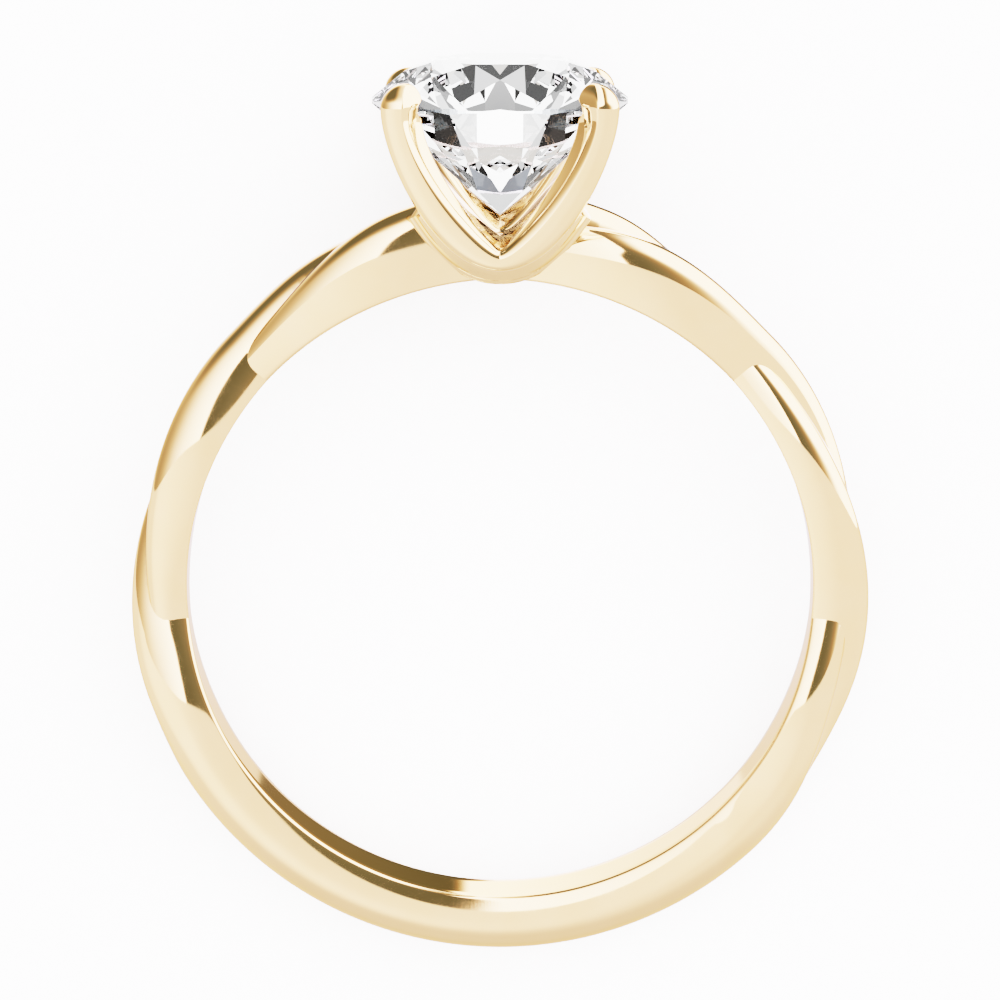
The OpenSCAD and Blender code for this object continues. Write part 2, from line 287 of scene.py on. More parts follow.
# %% Rows of the band, and halving
NEAR_SPAN, NEAR_STEP = 4.0, 0.1   # degrees on each side of a crossing, and from fan to fan there
TWIST_STEP, PLAIN_STEP = 0.35, 1.5        # degrees from fan to fan elsewhere
crossings = CROSS_STEP * np.arange(-2, 3)
near = (crossings[:, None] + np.arange(-NEAR_SPAN, NEAR_SPAN + 0.01, NEAR_STEP)).ravel()
twisted = np.arange(-MELT_END[0], MELT_END[1] + 0.01, TWIST_STEP)
twisted = twisted[np.abs(twisted[:, None] - crossings).min(1) > NEAR_SPAN + NEAR_STEP]
lower = np.arange(MELT_END[1] + PLAIN_STEP, 360 - MELT_END[0] - TWIST_STEP, PLAIN_STEP)
lower = np.where(lower > 180, lower - 360, lower)
turns = np.unique(np.concatenate([near, twisted, lower]).round(5))
angle = turns[:, None]


def halve(inside, low, high, times=30):
    """The place between low and high where inside(place) turns false, found by halving."""
    low, high = np.array(low, float), np.array(high, float)
    for _ in range(times):
        middle = (low + high) / 2
        within = inside(middle)
        low, high = np.where(within, middle, low), np.where(within, high, middle)
    return (low + high) / 2


print("rows", turns.size)

# %% [markdown]
# The valley is found by halving as well. On one side of it a spoke meets the strand that lies
# to the front, and on the other side the one behind it.

# %% Spokes, and the valley
HEART = 0.65                      # spokes of a section start at this height over the hole
EDGE = 0.07                       # radius of the eased edge between hole and side
SPOKES = 63
CRISP = 0.97                      # past this share of the plain oval no valley is left
VALLEY_NEAR = 2e-4                # in the valley the strands' values differ by less than this
INSIDE_Y, OUTSIDE_Y = 0.2, 1.6    # along the finger, surely inside and outside the band
BEYOND = 3.0                      # farther out than any place of the band
zero = np.zeros(angle.shape)


def wall(side):
    """How far the band's side lies from the middle at the height of the eased edge."""
    return halve(lambda y: band_section(angle, EDGE, side * y) < 1,
                 zero + INSIDE_Y, zero + OUTSIDE_Y)


def come_out(spoke):
    """Distance along a spoke, given in radians from the outward one, to the surface."""
    return halve(lambda d: band_section(angle, HEART + d * np.cos(spoke), d * np.sin(spoke)) < 1,
                 np.zeros(spoke.shape), np.full(spoke.shape, BEYOND))


front_wall, back_wall = wall(-1), wall(1)
reach_front = np.arctan2(front_wall, EDGE - HEART)
reach_back = np.arctan2(back_wall, EDGE - HEART)
share = np.linspace(-1, 1, SPOKES)[None, :]
spokes = np.where(share < 0, share * reach_front, share * reach_back)
front_strand = np.where(np.sin(np.pi * angle / CROSS_STEP) < 0, 1, -1)


def before_valley(spoke):
    """True while a spoke still meets the strand that lies to the front."""
    d = come_out(spoke)
    return front_strand * strand_gap(angle, HEART + d * np.cos(spoke), d * np.sin(spoke)) < 0


valley = halve(before_valley, -reach_front, reach_back)
nearest = np.abs(spokes - valley).argmin(1)
moved = (nearest > 0) & (nearest < SPOKES - 1) & (melt(turns) < CRISP)
spokes[moved, nearest[moved]] = valley[moved, 0]
print("spokes", SPOKES, "fans with a valley", int(moved.sum()))

# %% [markdown]
# Under the stone the band's top is cut off a little inside the cradle's saddle, so that it
# stays hidden in the cradle. The saddle is a rounded V, and halving finds it too, because the
# band's heights run outwards and the saddle's run straight up.

# %% The cut under the stone
SADDLE_LOW, SADDLE_SLOPE, SADDLE_ROUND = 0.95, 1.35, 0.45
SADDLE_SPAN = 20                  # the cut reaches this many degrees to each side
SUNK = 0.03                       # the band's cut top lies this deep inside the cradle


def saddle(x):
    """Height of the saddle at x, a rounded V: its slope times the hypotenuse of x and the
    rounding, less the rounding."""
    return BORE_R + SADDLE_LOW + SADDLE_SLOPE * (np.hypot(x, SADDLE_ROUND) - SADDLE_ROUND)


turned = np.radians(angle)
saddle_top = halve(lambda r: r * np.cos(turned) < saddle(r * np.sin(turned)),
                   zero, zero + 2 * BORE_R)
highest = np.where(np.abs(angle) < SADDLE_SPAN, saddle_top - BORE_R - SUNK, BEYOND)
print("lowest cut", round(float(highest.min()), 3), "mm over the hole")

# %% [markdown]
# Now every section can be closed: the fan, a quarter circle for the eased edge at the back, a
# few points along the hole, and the eased edge at the front.

# %% The band's points
distance = come_out(spokes)
along = distance * np.sin(spokes)
up = HEART + distance * np.cos(spokes)
in_valley = (np.abs(strand_gap(angle, up, along)) < VALLEY_NEAR) & (melt(angle) < CRISP)
up = np.minimum(up, highest)

bend = np.radians([30, 60, 90])[None, :]
back_y = back_wall - EDGE + EDGE * np.cos(bend)
front_y = -(front_wall - EDGE) - EDGE * np.cos(bend[:, ::-1])
hole = np.linspace(0, 1, 7)[None, 1:-1]
hole_y = (back_wall - EDGE) * (1 - hole) - (front_wall - EDGE) * hole
edge_up = EDGE - EDGE * np.sin(bend) + zero
section_y = np.concatenate([along, back_y, hole_y, front_y], 1)
section_up = np.concatenate([up, edge_up, 0 * hole_y, edge_up[:, ::-1]], 1)
radius = BORE_R + section_up
band_points = np.stack([radius * np.sin(turned), section_y, radius * np.cos(turned)], -1)
print("points in a section", section_y.shape[1])

# %% [markdown]
# A cell that the valley crosses at a slant is cut along it, so the sharp edges run on from fan
# to fan without a gap.

# %% The band's mesh
rows, columns = section_y.shape
sharp = np.zeros((rows, columns), bool)
sharp[:, :SPOKES] = in_valley
next_row, next_column = np.roll(sharp, -1, 0), np.roll(sharp, -1, 1)
other_way = next_row & next_column & ~(sharp & np.roll(next_row, -1, 1))
flat_points = band_points.reshape(-1, 3)
band = make_piece("twisted_band", flat_points,
                  outward(flat_points, grid_faces(rows, columns, True, other_way)),
                  "gold", "mounting")
sharpen(band, sharp.reshape(-1))

# %% [markdown]
# ## The cradle
# Under the stone both shoulders run into a block of metal that fills the room between the two
# prong wires. Its underside curves up like a U, its top is the saddle, and at its front and
# back it flares out in a hollow from the band's face. It is a loft: one closed outline after
# the other from the front wire to the back wire, and the hollow comes from a quarter of an
# ellipse.

# %% The cradle's outlines
CRADLE_W, CRADLE_REACH = 4.3, 2.08        # its size along the finger, and half that across
CRADLE_LOW, SIDE_RATE, SIDE_POWER = 0.2, 0.335, 2.12     # of the U
TOP_SHARE = 0.8                           # share of its reach that the saddle takes
# The hollow's depth at the band's face, its length, and where it starts along the finger
FLARE_DEEP, FLARE_LONG, FLARE_FROM = 0.32, 0.85, 0.8
OUTLINE_HALF, LAYERS, CROWDING = 36, 19, 1.6             # layers crowd at the band's face


def cradle_side(x):
    """Height of the U's outer side: a little over the hole, growing as a power of |x|."""
    return BORE_R + CRADLE_LOW + SIDE_RATE * np.abs(x) ** SIDE_POWER


def band_face(x):
    """How far the band's face lies from the middle under the stone, at x."""
    swing = np.sin(np.pi * np.degrees(np.arctan(x / BORE_R)) / CROSS_STEP)
    return STRAND_W / 2 + SWAY * np.abs(swing)


def cradle_outline(side, layer):
    """The closed outline at one layer: 1 where it leaves the band's face, 2 at its end. The
    outer side moves inwards by the hollow, along its own normal."""
    gone = layer - 1
    flare_ahead = 1 - min(gone * (CRADLE_W / 2 - FLARE_FROM) / FLARE_LONG, 1)
    hollow = FLARE_DEEP * (1 - np.sqrt(1 - flare_ahead ** 2))
    across = np.linspace(-1, 1, 2 * OUTLINE_HALF + 1)
    x = CRADLE_REACH * np.sin(np.pi / 2 * across)
    slope = SIDE_RATE * SIDE_POWER * np.abs(x) ** (SIDE_POWER - 1) * np.sign(x)
    away = hollow / np.hypot(1, slope)
    top = TOP_SHARE * CRADLE_REACH * across[::-1]

    def depth_at(x):
        return side * (band_face(x) + (CRADLE_W / 2 - band_face(x)) * gone)
    outer = np.stack([x + away * slope, depth_at(x), cradle_side(x) - away], -1)
    inner = np.stack([top, depth_at(top), saddle(top)], -1)
    return np.concatenate([outer, inner])


layers = 1 + np.linspace(0, 1, LAYERS) ** CROWDING
outlines = [cradle_outline(-1, k) for k in layers[::-1]] + [cradle_outline(1, k) for k in layers]
print("outlines", len(outlines), "of", len(outlines[0]), "points")

# %% [markdown]
# An open grid has a hole at each end. A fan of triangles round the middle of the end closes it,
# here and later on the tips of the prongs. The cradle's four long corners are marked sharp.

# %% The cradle, closed at both ends


def capped(points, rows, columns):
    """The points and faces of an open grid, closed at both ends by a fan round its middle."""
    ends = np.array([points[:columns].mean(0), points[-columns:].mean(0)])
    j = np.arange(columns)
    k = (j + 1) % columns
    last_row = (rows - 1) * columns
    first = np.stack([j, np.full(columns, len(points)), k], -1)
    last = np.stack([j + last_row, k + last_row, np.full(columns, len(points) + 1)], -1)
    every = np.concatenate([points, ends])
    return every, outward(every, np.concatenate([grid_faces(rows, columns, False), first, last]))


cradle_points = np.concatenate(outlines)
lanes = len(outlines[0])
cradle = make_piece("cradle", *capped(cradle_points, len(outlines), lanes), "gold", "mounting")
corners = np.zeros(len(cradle_points) + 2, bool)
corner_lanes = [0, lanes // 2 - 1, lanes // 2, lanes - 1]
corners[:-2].reshape(len(outlines), lanes)[:, corner_lanes] = True
sharpen(cradle, corners)

# %% [markdown]
# ## The stone's shape
# A round brilliant has an eight-sided table on top, eight star facets, eight kites and sixteen
# upper halves on the crown, a thin girdle, then sixteen lower halves and eight long mains that
# meet in a point. Every facet is flat, so the shape needs only its corners. The girdle is
# round, and the flat halves cut it in small scallops, as on a real stone.

# %% Corners of the brilliant
MAINS = 8
STAR_SHARE, LOWER_SHARE = 0.5, 0.76       # how far stars and lower halves reach along the radius
STONE_TURN = 22.5                         # degrees, which bring a star facet to the front


def brilliant_corners(grow, arc):
    """The corners from top to bottom: table, stars, upper and lower edge of the girdle, lower
    halves, point. The stone is grown by grow on every side, and the girdle has arc steps in
    each sixteenth. Its edges follow the planes of the halves."""
    half = np.pi / MAINS
    girdle_r = STONE_R + grow
    high = BORE_R + GIRDLE_UP + GIRDLE_THICK / 2 + grow / 3
    low = BORE_R + GIRDLE_UP - GIRDLE_THICK / 2 - grow / 3
    top, point = high + CROWN_HIGH + grow, low - PAVILION_DEEP - grow
    table = TABLE_R + grow / 2
    star_r = table * np.cos(half) * (1 - STAR_SHARE) + girdle_r * STAR_SHARE
    star_z = top - (star_r * np.cos(half) - table) / (girdle_r - table) * (top - high)
    lower_r = girdle_r * (1 - LOWER_SHARE)
    lower_z = point + lower_r * np.cos(half) / girdle_r * (low - point)

    def spin(r, a, z):
        a, z = np.broadcast_arrays(a, z)
        return np.stack([r * np.sin(a), r * np.cos(a), z], -1)

    k = np.arange(MAINS)
    a = np.arange(2 * MAINS * arc) * half / arc
    # Distance from the chord's middle tells how far the round girdle runs past the plane
    past = girdle_r * (np.cos((a % half) - half / 2) - np.cos(half / 2))
    upper_slope = (star_z - high) / (girdle_r * np.cos(half / 2) - star_r * np.cos(half / 2))
    lower_slope = (low - lower_z) / (girdle_r * np.cos(half / 2) - lower_r * np.cos(half / 2))
    points = np.concatenate([
        spin(table, 2 * k * half, top), spin(star_r, (2 * k + 1) * half, star_z),
        spin(girdle_r, a, high - past * upper_slope), spin(girdle_r, a, low + past * lower_slope),
        spin(lower_r, (2 * k + 1) * half, lower_z), np.array([[0, 0, point]])])
    turn = np.radians(STONE_TURN)
    return points @ np.array([[np.cos(turn), np.sin(turn), 0], [-np.sin(turn), np.cos(turn), 0],
                              [0, 0, 1]])


print("corners of the stone with one step in an arc", len(brilliant_corners(0, 1)))

# %% [markdown]
# A facet is a list of corner numbers. The corners stand in groups, so a facet is found by where
# its groups start and by counting round. Which way a facet faces is then tested, not planned.

# %% Facets of the brilliant


def brilliant_facets(arc):
    """The table, then seven facets for each main, then the girdle's narrow band."""
    n = 2 * MAINS * arc
    stars_at, upper_at, under_at = MAINS, 2 * MAINS, 2 * MAINS + n
    halves_at, point_at = 2 * MAINS + 2 * n, 3 * MAINS + 2 * n
    facets = [list(range(MAINS))]
    for i in range(MAINS):
        star, star_before = stars_at + i, stars_at + (i - 1) % MAINS
        lower, lower_before = halves_at + i, halves_at + (i - 1) % MAINS
        at = 2 * i * arc
        facets += [
            [i, (i + 1) % MAINS, star],
            [i, star, upper_at + at, star_before],
            [star] + [upper_at + (at + arc - m) % n for m in range(arc + 1)],
            [star] + [upper_at + (at + 2 * arc - m) % n for m in range(arc + 1)],
            [lower] + [under_at + (at + m) % n for m in range(arc + 1)],
            [lower] + [under_at + (at + arc + m) % n for m in range(arc + 1)],
            [lower_before, under_at + at, lower, point_at]]
    for m in range(n):
        following = (m + 1) % n
        facets.append([upper_at + m, upper_at + following, under_at + following, under_at + m])
    return facets


def facet_normal(p):
    """The sum of the cross products of neighbouring corners, seen from the facet's middle."""
    return np.cross(p - p.mean(0), np.roll(p, -1, 0) - p.mean(0)).sum(0)


def brilliant(grow, arc):
    """The corners, and the facets in the order that makes each normal point outwards."""
    corners, facets = brilliant_corners(grow, arc), brilliant_facets(arc)
    middle = corners.mean(0)
    return corners, [f if facet_normal(corners[f]) @ (corners[f].mean(0) - middle) > 0 else f[::-1]
                     for f in facets]


stone_points, stone_facets = brilliant(0, 6)
stone = make_piece("brilliant_stone", stone_points, stone_facets, "diamond", "stone", smooth=False)

# %% [markdown]
# ## The prong wires
# Two wires are bent to a V, one in front and one behind, and each ends in two rounded prong
# tips. A wire is a section carried along a path: the path is a Bezier curve for its outer edge
# and one for its inner edge, and the section is a rounded square whose inner side slants
# towards the stone.

# %% The edges of a wire
PRONG_OUT, PRONG_IN = 3.05, 1.97          # its edges, across, where the tip starts
PRONG_TOP = 5.27                          # the tip's top over the hole
TIP_LEN, TIP_LEAN = 0.62, 0.12            # how long it is, and how far it leans inwards
TIP_Z = BORE_R + PRONG_TOP - TIP_LEN
V_Z = WIRE_Z + WIRE_LOW_THICK             # the lowest place of the V's inner edge
# A Bezier curve's two handles lie this far across and up from its ends
OUTER_LOW_HANDLE, OUTER_TOP_HANDLE = (1.7, 0), (0, -1.2)
INNER_LOW_HANDLE, INNER_TOP_HANDLE = (0.34, 0.14), (0.3, -1.04)


def edge_points(low, low_handle, top, top_handle):
    """The four points of a cubic curve: its ends, and each end moved by its handle."""
    low, top = np.array(low, float), np.array(top, float)
    return np.array([low, low + low_handle, top + top_handle, top])


def bezier(p, t):
    """The cubic curve from the first point to the last, which the two between them pull to
    their side: (1 - t)^3, 3 (1 - t)^2 t, 3 (1 - t) t^2 and t^3 are the shares of the four."""
    t = np.asarray(t, float)[:, None]
    return ((1 - t) ** 3 * p[0] + 3 * (1 - t) ** 2 * t * p[1]
            + 3 * (1 - t) * t * t * p[2] + t ** 3 * p[3])


OUTER = edge_points((0, WIRE_Z), OUTER_LOW_HANDLE, (PRONG_OUT, TIP_Z), OUTER_TOP_HANDLE)
INNER = edge_points((0, V_Z), INNER_LOW_HANDLE, (PRONG_IN, TIP_Z), INNER_TOP_HANDLE)
print("halfway up the edges are at", *(bezier(p, [0.5])[0].round(2) for p in (OUTER, INNER)))

# %% [markdown]
# The tip goes on from the shaft with the same section: it shrinks like a quarter of a ball and
# leans over the stone at the same time. It stops one degree short of the pole, and the fan that
# closes a grid covers the rest.

# %% Sections along a wire
WIRE_SQUARE, WIRE_SLANT = 3.6, 0.4
ARM_STEPS, TIP_STEPS, WIRE_SIDES = 90, 20, 72
BALL_END = 89                     # degrees of the quarter ball


def wire_rings(outer, inner, deep, lean, face, slant):
    """One ring of points for each row of outer and inner edges: a rounded square across and
    deep, whose inner front corner is narrowed towards the face's side by the slant."""
    a = 2 * np.pi * np.arange(WIRE_SIDES)[None, :] / WIRE_SIDES
    n = superellipse(np.cos(a), np.sin(a), WIRE_SQUARE)
    front = np.maximum(face * np.sin(a) / n, 0)
    narrow = np.where(np.cos(a) < 0, 1 - 2 * slant * front, 1)
    across = (outer - inner)[:, None, :] / 2 * (np.cos(a) / n * narrow)[..., None]
    middle = (outer + inner)[:, None, :] / 2 + across
    y = lean + deep * np.sin(a) / n
    return np.stack([middle[..., 0], y, middle[..., 1]], -1)


def wire_arm(side):
    """The rings of the right arm from its lowest point to the tip, which rounds off like a
    quarter of a ball and leans over the stone."""
    t = np.linspace(0, 1, ARM_STEPS + 1)
    slant = (WIRE_SLANT * smooth_step(t))[:, None]
    shaft = wire_rings(bezier(OUTER, t), bezier(INNER, t), np.full((t.size, 1), WIRE_DEEP / 2),
                       np.zeros((t.size, 1)), side, slant)
    a = np.radians(BALL_END * np.arange(1, TIP_STEPS + 1) / TIP_STEPS)
    lean = TIP_LEAN * (1 - np.cos(a))
    middle = (PRONG_OUT + PRONG_IN) / 2 - lean
    half = (PRONG_OUT - PRONG_IN) / 2 * np.cos(a)
    z = TIP_Z + TIP_LEN * np.sin(a)
    tip = wire_rings(np.stack([middle + half, z], -1), np.stack([middle - half, z], -1),
                     (WIRE_DEEP / 2 * np.cos(a))[:, None], -side * lean[:, None], side,
                     np.full((a.size, 1), WIRE_SLANT))
    return np.concatenate([shaft, tip])


print("rings in an arm", len(wire_arm(1)))

# %% [markdown]
# ## The seats
# Where the stone sits, a setter cuts a seat into each prong. A Boolean modifier could cut it,
# but it would leave long thin triangles. So each point of the wire that would be inside the
# stone, grown by a small gap, is moved level and straight outwards until it is out of it. The
# left arm is the right one mirrored, and the two share their lowest ring.

# %% The seat, and both wires
STONE_GAP = 0.05


def seat(points):
    """Moves each point that is inside the grown stone level and outwards, until it meets the
    first facet's plane in that direction."""
    corners, facets = brilliant(STONE_GAP, 1)
    normals = np.array([facet_normal(corners[f]) for f in facets])
    normals /= np.linalg.norm(normals, axis=1)[:, None]
    heights = np.array([(corners[f] @ n).mean() for f, n in zip(facets, normals)])
    room = heights - points @ normals.T
    inside = (room > 0).all(1)
    out = points * [1, 1, 0]
    out /= np.linalg.norm(out, axis=1)[:, None]
    pace = out @ normals.T
    meets = pace > 1e-6
    way = np.where(meets, room / np.where(meets, pace, 1), np.inf).min(1)
    return points + np.where(inside, way, 0)[:, None] * out, int(inside.sum())


for face, name in ((-1, "front_prong_wire"), (1, "back_prong_wire")):
    right_arm = wire_arm(face)
    left_arm = right_arm[:0:-1] * [-1, 1, 1]
    rings = np.concatenate([left_arm, right_arm]) + [0, face * WIRE_Y, 0]
    pressed, count = seat(rings.reshape(-1, 3))
    make_piece(name, *capped(pressed, *rings.shape[:2]), "gold", "mounting")
    print(name, "points moved for the seat", count)

# %% [markdown]
# ## Writing shaders as sums
# A material is a small calculation done for each point of a surface. Drawn as boxes and wires
# it is hard to read, so here a value that flows through the nodes is wrapped in one small
# class. Plus, minus and times on it add Math nodes, and one method adds any other node. A
# Light Path node tells what a ray met last, and four of its outputs are used by number.

# %% A value that flows through nodes
IS_CAMERA, IS_GLOSSY, IS_SHARP, IS_THROUGH = 0, 3, 4, 6


class Flow:
    """A number, colour or vector in a node tree. Arithmetic on it adds the Math nodes."""

    def __init__(self, tree, socket=None):
        self.tree, self.socket = tree, socket

    def node(self, kind, settings=None, inputs=None, output=0):
        """Adds a node: its settings first, then the value or link of each named socket."""
        made = self.tree.nodes.new(kind)
        for name, value in (settings or {}).items():
            setattr(made, name, value)
        for name, value in (inputs or {}).items():
            if isinstance(value, Flow):
                self.tree.links.new(value.socket, made.inputs[name])
            else:
                made.inputs[name].default_value = value
        return Flow(self.tree, made.outputs[output])

    def math(self, operation, a, b):
        """One Math node on two numbers."""
        return self.node("ShaderNodeMath", {"operation": operation}, {0: a, 1: b})

    def vector(self, operation, a, b, output=0):
        """One Vector Math node on two vectors; output 1 is a plain number."""
        return self.node("ShaderNodeVectorMath", {"operation": operation}, {0: a, 1: b}, output)

    def mix(self, share, first, second):
        """The first colour where share is 0 and the second where it is 1."""
        return self.node("ShaderNodeMix", {"data_type": "RGBA"}, {0: share, 6: first, 7: second}, 2)

    def step(self, low, high):
        """0 below low, 1 above high and a soft curve between them."""
        return self.node("ShaderNodeMapRange", {"interpolation_type": "SMOOTHSTEP"},
                         {0: self, 1: low, 2: high, 3: 0.0, 4: 1.0})

    def noise(self, scale, detail, roughness):
        """A noise pattern over this vector, with scale waves in a metre."""
        return self.node("ShaderNodeTexNoise", {"noise_dimensions": "3D"}, {
            "Vector": self, "Scale": scale, "Detail": detail, "Roughness": roughness})

    def ray_is(self, kind):
        """1 for a ray of that kind and 0 for the others, from the Light Path node."""
        return self.node("ShaderNodeLightPath", output=kind)

    def __add__(self, other):
        return self.math("ADD", self, other)

    def __radd__(self, other):
        return self.math("ADD", other, self)

    def __sub__(self, other):
        return self.math("SUBTRACT", self, other)

    def __rsub__(self, other):
        return self.math("SUBTRACT", other, self)

    def __mul__(self, other):
        return self.math("MULTIPLY", self, other)

    def __rmul__(self, other):
        return self.math("MULTIPLY", other, self)


print("a Flow has", *(name for name in vars(Flow) if not name.startswith("__")))

# %% [markdown]
# Each material starts from a Principled shader and the Object coordinates, which stay with
# the piece. A helper links what varies to the shader's sockets and sets what doesn't.

# %% A new material


def new_material(name):
    """A material with a Principled shader; gives the material and its Object coordinates."""
    material = bpy.data.materials.new(name)
    material.use_nodes = True
    return material, Flow(material.node_tree).node("ShaderNodeTexCoord", output=3)


def set_shader(material, inputs):
    """Links each Flow to the named socket of the material's shader, and sets plain values."""
    shader = material.node_tree.nodes["Principled BSDF"]
    for name, value in inputs.items():
        if isinstance(value, Flow):
            material.node_tree.links.new(value.socket, shader.inputs[name])
        else:
            shader.inputs[name].default_value = value
    print(material.name, "nodes", len(material.node_tree.nodes))


def finish_with(piece, *materials):
    """Puts the materials into the piece's slots, in their order."""
    piece.data.materials.clear()
    for material in materials:
        piece.data.materials.append(material)


# %% [markdown]
# ## Polished gold
# Fourteen-karat yellow gold is polished until it mirrors the room, and its colour comes from
# the metal tinting what it mirrors. A perfect mirror looks like a drawing, though. A polishing
# wheel leaves a haze that comes and goes over a millimetre or so and very fine lines, so the
# roughness wanders a little and a bump far thinner than a hair breaks the reflections.
#
# Gold that is seen in other gold tints the light again, and after a few mirrorings it would be
# orange. Between the prong wires of a photographed ring it stays pale, so gold seen in gold gets
# a paler colour, a painted reflection, and the second tint is a weak one. Gold that is seen in a
# facet gets a dark colour, a painted shade on its reflections, as when a filter on the lens takes
# the glare off the stone.

# %% The gold material
GOLD_PALE, GOLD_DEEP = (1.0, 0.635, 0.285, 1), (0.985, 0.615, 0.265, 1)
# Painted reflection colours: a pale one for gold seen in gold, a dark one for gold seen in a facet
GOLD_PAINTED_PALE_IN_GOLD, GOLD_PAINTED_DARK_IN_FACET = (1.0, 0.95, 0.87, 1), (0.1, 0.085, 0.06, 1)
GOLD_AT_GRAZE = (0.85, 0.70, 0.50, 1)
HAZE_SCALE, LINE_SCALE = 900.0, 24000.0
LINE_TURN, LINE_STRETCH = (0.3, 0.5, 0.9), (1.0, 0.12, 1.0)
LINE_DEEP = 2.0e-7                # metres
LEAST_ROUGH, HAZE_ROUGH, LINE_ROUGH = 0.025, 0.035, 0.02


def polished_gold():
    """A metal whose roughness wanders between two small values, with fine polishing lines, and with
    painted reflection colours: paler for gold seen in gold, dark for gold seen in a facet.
    """
    material, place = new_material("polished_gold")
    haze = place.noise(HAZE_SCALE, 3.0, 0.5)
    stretched = place.node("ShaderNodeMapping", {}, {
        "Vector": place, "Rotation": LINE_TURN, "Scale": LINE_STRETCH})
    lines = stretched.noise(LINE_SCALE, 2.0, 0.6)
    rough = LEAST_ROUGH + HAZE_ROUGH * haze.step(0.35, 0.7) + LINE_ROUGH * lines.step(0.45, 0.8)
    tone = place.mix(haze.step(0.3, 0.75), GOLD_DEEP, GOLD_PALE)
    # Painted reflection: gold seen in other gold turns paler
    tone = place.mix(place.ray_is(IS_GLOSSY), tone, GOLD_PAINTED_PALE_IN_GOLD)
    # Painted shade: gold seen in a facet turns dark
    tone = place.mix(place.ray_is(IS_SHARP), tone, GOLD_PAINTED_DARK_IN_FACET)
    relief = place.node("ShaderNodeBump", {}, {
        "Strength": 0.35, "Distance": LINE_DEEP, "Height": lines})
    set_shader(material, {"Base Color": tone, "Roughness": rough, "Normal": relief,
                          "Metallic": 1.0, "Specular Tint": GOLD_AT_GRAZE})
    return material


gold = polished_gold()

# %% [markdown]
# ## Diamond
# A diamond has no colour of its own. It bends light far more than glass, with an index of
# 2.417, so most light that enters through the crown is mirrored twice inside and comes back
# out in bright and dark patches. Only flat facets and that index are needed. Its girdle is
# ground, not polished, so its narrow band is frosted. A stone also mirrors the room on its
# outside, and that glare would hide the patches. A filter on the lens takes most of it away,
# and here the black Specular Tint does that.
#
# Bright gold beside a stone mirrors the bright room far more than the stone. A ray that comes
# off the gold therefore finds the stone clear away: its Alpha is 0 for such a ray alone. The
# rays that bounce inside the stone come off its facets, and for them it stays.

# %% The diamond materials
DIAMOND_INDEX = 2.417
CLEAR, FAINT_GREY = (1.0, 1.0, 1.0, 1), (0.97, 0.975, 0.98, 1)
NO_GLARE = (0.0, 0.0, 0.0, 1)
MARK_SCALE = 5000.0


def diamond(name, roughness, ground):
    """Clear matter that bends light by the diamond's index. The faint marks of the wheel add
    up to ground to its roughness."""
    material, place = new_material(name)
    marks = place.noise(MARK_SCALE, 2.0, 0.5)
    off_gold = place.ray_is(IS_GLOSSY) * (1 - place.ray_is(IS_SHARP))
    set_shader(material, {
        "Base Color": place.mix(marks.step(0.3, 0.7), CLEAR, FAINT_GREY),
        "Roughness": roughness + ground * marks.step(0.4, 0.8), "Alpha": 1 - off_gold,
        "Specular Tint": NO_GLARE, "Transmission Weight": 1.0, "IOR": DIAMOND_INDEX})
    return material


finish_with(stone, diamond("diamond_facet", 0.0, 0.003), diamond("diamond_girdle", 0.25, 0.1))
# The table and seven facets for each main come first, and the rest is the girdle's
is_girdle = np.arange(len(stone_facets)) > 7 * MAINS
stone.data.polygons.foreach_set("material_index", is_girdle.astype(np.int32))
print("girdle facets", int(is_girdle.sum()))

# %% [markdown]
# The metal gets its gold. Seen through the stone, the prongs behind it would turn it yellow,
# so the rays inside the stone pass them by.

# %% Gold on every piece of metal
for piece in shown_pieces():
    if piece is not stone:
        finish_with(piece, gold)
        piece.visible_transmission = False
        print(piece.name, "is", gold.name)

# %% [markdown]
# ## The table
# A pale, matt table lets the eye rest on the ring. Fine grain keeps it from looking like
# empty paper. The gold and the stone do not see the table but the room all round, as they do
# when a ring is photographed on a glass plate that stands well above the paper.

# %% The table
TABLE_HALF = 3.0                  # metres
GRAIN_DARK, GRAIN_PALE = (0.88, 0.878, 0.87, 1), (0.92, 0.918, 0.91, 1)
GRAIN_SCALE = 2500.0
table_mesh = bpy.data.meshes.new("table")
table_mesh.from_pydata([(TABLE_HALF * x, TABLE_HALF * y, 0)
                        for x, y in ((-1, -1), (1, -1), (1, 1), (-1, 1))], [], [(0, 1, 2, 3)])
table = bpy.data.objects.new("table", table_mesh)
bpy.context.scene.collection.objects.link(table)
table.visible_glossy = table.visible_transmission = False
matt, place = new_material("pale_table")
grain = place.noise(GRAIN_SCALE, 4.0, 0.6)
set_shader(matt, {"Base Color": place.mix(grain.step(0.3, 0.7), GRAIN_DARK, GRAIN_PALE),
                  "Roughness": 0.6, "Specular IOR Level": 0.2})
finish_with(table, matt)

# %% [markdown]
# ## The room that the gold sees
# Polished metal shows the room, so a jeweller's photograph is mostly a matter of what stands
# round the ring: white paper on most sides, and a few dark gaps that give the metal its
# contrast. The room is written as a function of the direction a ray leaves in, in the frame of
# the standing ring. How far a ray goes along an axis is a dot product, between -1 and 1, and
# the edge of a zone is a soft step from one such number to another.

# %% Directions
world = bpy.data.worlds.new("studio")
bpy.context.scene.world = world
world.use_nodes = True
room = world.node_tree
ray = Flow(room).node("ShaderNodeTexCoord", output=0)


def towards(axis):
    """How much a ray goes along an axis of the standing ring: their dot product."""
    return ray.vector("DOT_PRODUCT", ray, tuple(TURN @ np.array(axis, float)), output=1)


def greatest(first, *others):
    """The greatest of several numbers."""
    for other in others:
        first = ray.math("MAXIMUM", first, other)
    return first


right, back, above = (towards(axis) for axis in np.eye(3))
left, front, below = 0 - right, 0 - back, 0 - above
side = ray.math("ABSOLUTE", right, 0.0)
print("nodes in the room", len(room.nodes))

# %% [markdown]
# Over a sharp edge at the ring's own height hangs white paper, with a dark gap overhead and a
# shade that grows to the left. Each is a darkness from 0 to 1, and the greater of them counts.

